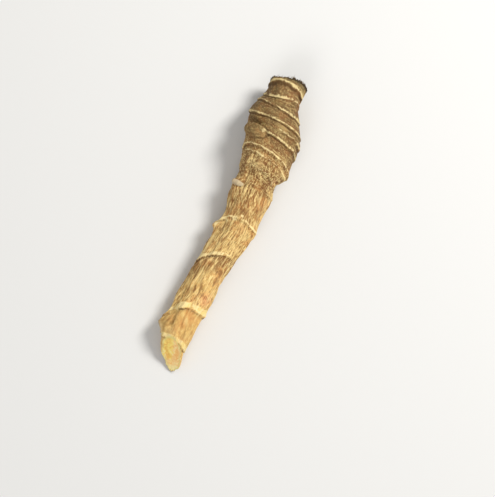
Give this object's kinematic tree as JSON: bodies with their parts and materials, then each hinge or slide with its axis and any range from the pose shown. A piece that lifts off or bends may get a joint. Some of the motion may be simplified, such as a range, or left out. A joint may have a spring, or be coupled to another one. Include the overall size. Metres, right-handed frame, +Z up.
{
  "type": "dried leopards bane root",
  "caption": "Dried rootstock of leopard's bane lying on its side: ringed thick crown with a broken neck, slim furrowed shaft crossed by old leaf scars, slanting cut at the tip.",
  "frame": {"origin": "centre of the root's box, on the surface that the root rests on", "axes": "+X along the root from the cut tip to the crown, +Y to the root's left seen from above, +Z up, away from the surface it rests on"},
  "size_m": [0.0799, 0.0166, 0.013],
  "materials": {
    "bark": "matte"
  },
  "bodies": {
    "root": {"root": "bark"}
  },
  "joints": []
}
